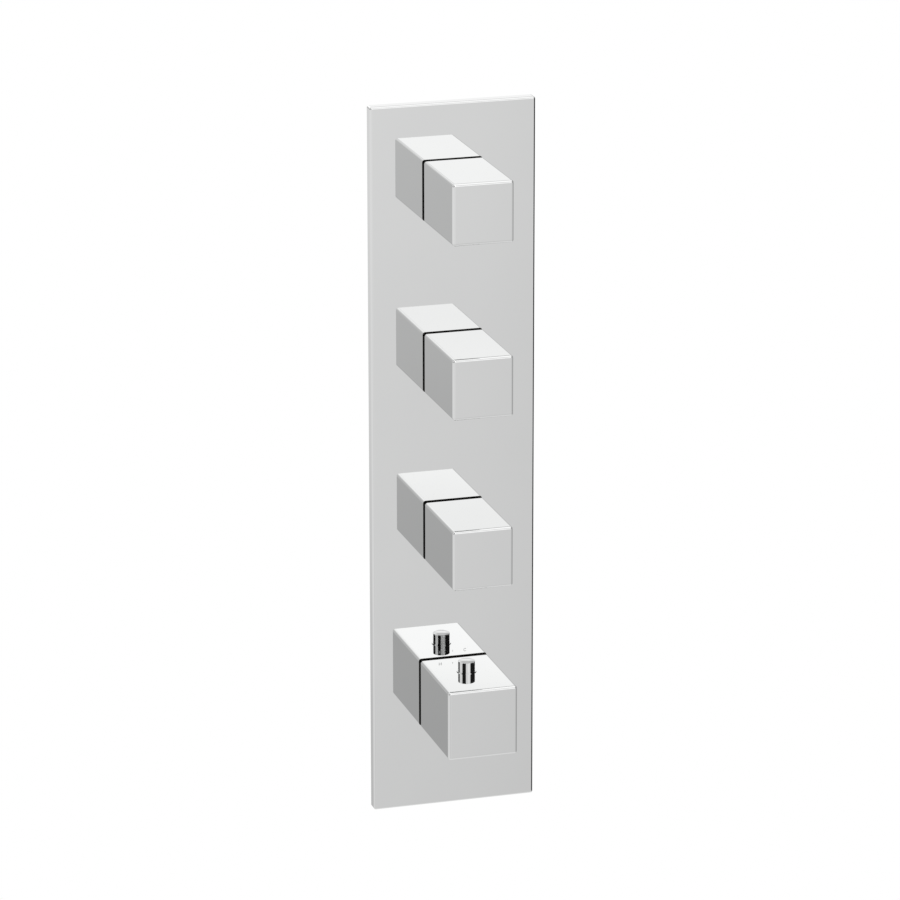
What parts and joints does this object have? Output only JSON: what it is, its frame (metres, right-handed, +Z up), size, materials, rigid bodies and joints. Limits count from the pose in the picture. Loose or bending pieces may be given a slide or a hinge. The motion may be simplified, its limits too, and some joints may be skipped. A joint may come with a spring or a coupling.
{
  "type": "thermostatic shower valve",
  "caption": "Concealed thermostatic shower valve: tall mirror chrome slab plate, square block flow handles above a larger temperature handle with a stop button, brass body behind.",
  "frame": {"origin": "centre of the cover plate's back face, on the finished wall", "axes": "+X to the right seen from the front, +Y into the wall, +Z up; the handles stand out towards -Y"},
  "size_m": [0.111, 0.156, 0.48],
  "materials": {
    "polished_chrome": "mirror polished chrome plate",
    "cast_brass": "sand cast, shot blasted, machined at the mouths",
    "turned_brass": "turned",
    "plated_nuts": "satin plate",
    "galvanised_steel": "galvanised sheet",
    "plain_steel": "stainless",
    "fired_ceramic": "lapped fired ceramic",
    "seal_rubber": "moulded rubber",
    "white_plastic": "moulded acetal",
    "black_plastic": "moulded filled nylon",
    "copper_capsule": "drawn copper"
  },
  "bodies": {
    "valve": {"cold_check_cage": "white_plastic", "cold_check_spring": "plain_steel", "cover_plate": "polished_chrome", "gallery_plug": "turned_brass", "hot_check_cage": "white_plastic", "hot_check_spring": "plain_steel", "inlet_strainers": "plain_steel", "lower_bonnet": "turned_brass", "lower_fixed_disc": "fired_ceramic", "lower_plate_nut": "plated_nuts", "lower_seat_seal": "seal_rubber", "middle_bonnet": "turned_brass", "middle_fixed_disc": "fired_ceramic", "middle_plate_nut": "plated_nuts", "middle_seat_seal": "seal_rubber", "mixing_sleeve": "black_plastic", "mounting_rail": "galvanised_steel", "plate_seal": "seal_rubber", "rail_screws": "plain_steel", "return_spring": "plain_steel", "stem_seals": "seal_rubber", "stop_ring": "black_plastic", "thermostat_bonnet": "turned_brass", "thermostat_plate_nut": "plated_nuts", "upper_bonnet": "turned_brass", "upper_fixed_disc": "fired_ceramic", "upper_plate_nut": "plated_nuts", "upper_seat_seal": "seal_rubber", "valve_body": "cast_brass"},
    "upper_control": {"upper_handle": "polished_chrome", "upper_insert": "turned_brass", "upper_spindle": "turned_brass", "upper_turning_disc": "fired_ceramic", "upper_grub_screw": "plain_steel"},
    "middle_control": {"middle_handle": "polished_chrome", "middle_insert": "turned_brass", "middle_spindle": "turned_brass", "middle_turning_disc": "fired_ceramic", "middle_grub_screw": "plain_steel"},
    "lower_control": {"lower_handle": "polished_chrome", "lower_insert": "turned_brass", "lower_spindle": "turned_brass", "lower_turning_disc": "fired_ceramic", "lower_grub_screw": "plain_steel"},
    "temperature_control": {"temperature_handle": "polished_chrome", "temperature_insert": "turned_brass", "temperature_spindle": "turned_brass", "temperature_grub_screw": "plain_steel", "button_ring": "polished_chrome", "button_spring": "plain_steel"},
    "stop_button": {"safety_button": "polished_chrome", "stop_latch": "black_plastic"},
    "mixing_slide": {"regulating_nut": "turned_brass", "overload_spring": "plain_steel", "wax_element": "copper_capsule", "mixing_spool": "white_plastic"},
    "hot_check": {"hot_poppet": "white_plastic"},
    "cold_check": {"cold_poppet": "white_plastic"}
  },
  "joints": [
    {"name": "upper_turn", "type": "hinge", "parent": "valve", "child": "upper_control", "pos_m": [0, 0, 0.1825], "axis": [0, -1, 0], "range_deg": [0, 90]},
    {"name": "middle_turn", "type": "hinge", "parent": "valve", "child": "middle_control", "pos_m": [0, 0, 0.0675], "axis": [0, -1, 0], "range_deg": [0, 90]},
    {"name": "lower_turn", "type": "hinge", "parent": "valve", "child": "lower_control", "pos_m": [0, 0, -0.0475], "axis": [0, -1, 0], "range_deg": [0, 90]},
    {"name": "temperature_turn", "type": "hinge", "parent": "valve", "child": "temperature_control", "pos_m": [0, 0, -0.1605], "axis": [0, -1, 0], "range_deg": [-150, 60]},
    {"name": "button_press", "type": "slide", "parent": "temperature_control", "child": "stop_button", "axis": [0, 0, -1], "range_m": [0, 0.003], "stiffness_N_per_m": 700, "springref_m": -0.003, "deforming": ["button_spring"]},
    {"name": "mixing_travel", "type": "slide", "parent": "valve", "child": "mixing_slide", "axis": [0, 1, 0], "range_m": [-0.0026, 0.0011], "deforming": ["return_spring"]},
    {"name": "hot_check_lift", "type": "slide", "parent": "valve", "child": "hot_check", "axis": [0, 0, 1], "range_m": [0, 0.004], "stiffness_N_per_m": 60, "springref_m": -0.003, "deforming": ["hot_check_spring"]},
    {"name": "cold_check_lift", "type": "slide", "parent": "valve", "child": "cold_check", "axis": [0, 0, 1], "range_m": [0, 0.004], "stiffness_N_per_m": 60, "springref_m": -0.003, "deforming": ["cold_check_spring"]}
  ],
  "couplings": [
    {"joint": "mixing_travel", "follows": "temperature_turn", "m_per_rad": 0.00095493}
  ]
}
